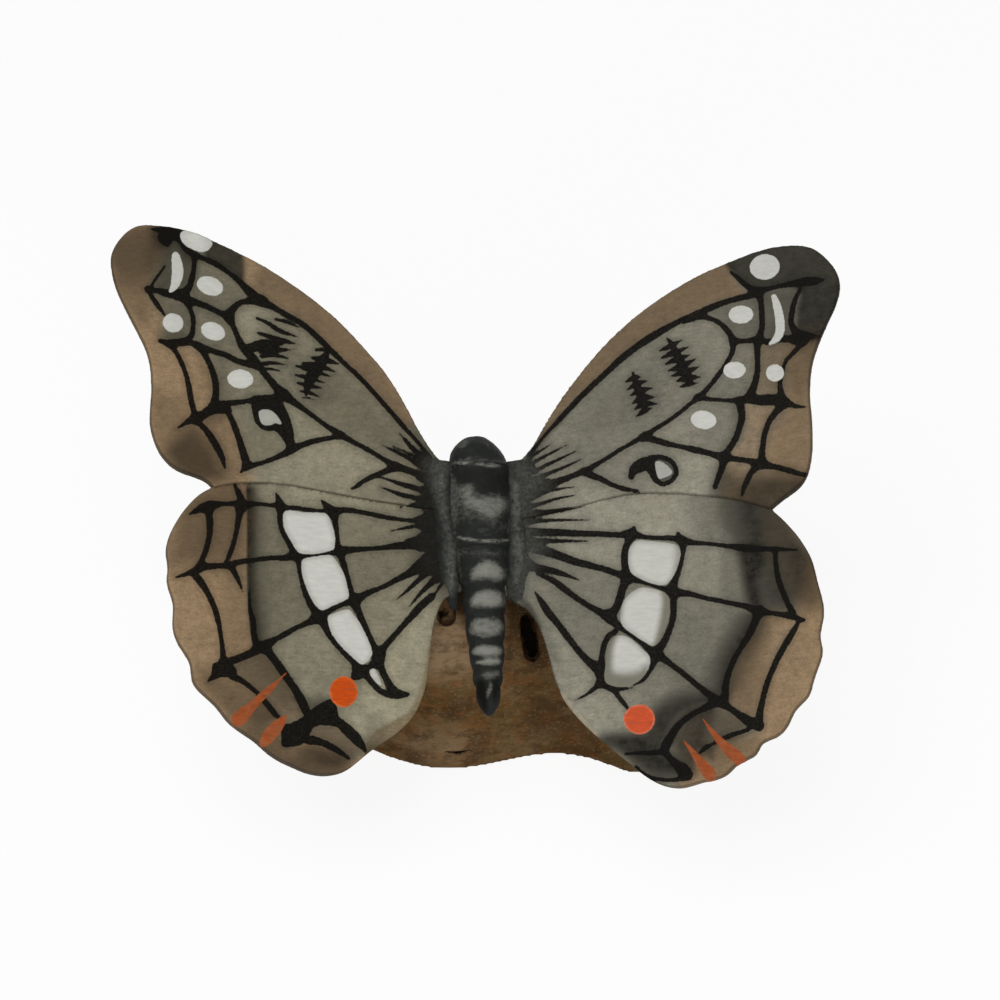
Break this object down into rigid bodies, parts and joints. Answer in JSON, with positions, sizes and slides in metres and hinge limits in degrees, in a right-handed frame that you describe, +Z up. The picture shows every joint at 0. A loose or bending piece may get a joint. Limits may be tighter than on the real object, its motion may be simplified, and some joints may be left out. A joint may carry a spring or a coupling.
{
  "type": "butterfly ornament",
  "caption": "Carved and painted wooden butterfly with spread wings, pegged to a block of rough wood that stands flat on a shelf or table.",
  "frame": {"origin": "middle of the flat underside of the base block, on the surface that the ornament stands on", "axes": "+X to the butterfly's right along its wingspan, +Y from its tail towards its head as seen from above, +Z up"},
  "size_m": [0.1191, 0.0815, 0.0702],
  "materials": {
    "rough_wood": "bare, rough, aged",
    "dowel_wood": "bare",
    "body_paint": "hand painted, matte",
    "wing_paint": "hand painted, matte",
    "root_filler": "painted filler, rough"
  },
  "bodies": {
    "root": {"base_block": "rough_wood", "perch_peg": "dowel_wood", "thorax": "body_paint", "head": "body_paint", "abdomen": "body_paint", "neck_dowel": "dowel_wood", "waist_dowel": "dowel_wood", "forewing_left": "wing_paint", "forewing_right": "wing_paint", "hindwing_left": "wing_paint", "hindwing_right": "wing_paint", "forewing_left_dowel": "dowel_wood", "forewing_right_dowel": "dowel_wood", "hindwing_left_dowel": "dowel_wood", "hindwing_right_dowel": "dowel_wood", "root_filler_left": "root_filler", "root_filler_right": "root_filler"}
  },
  "joints": []
}
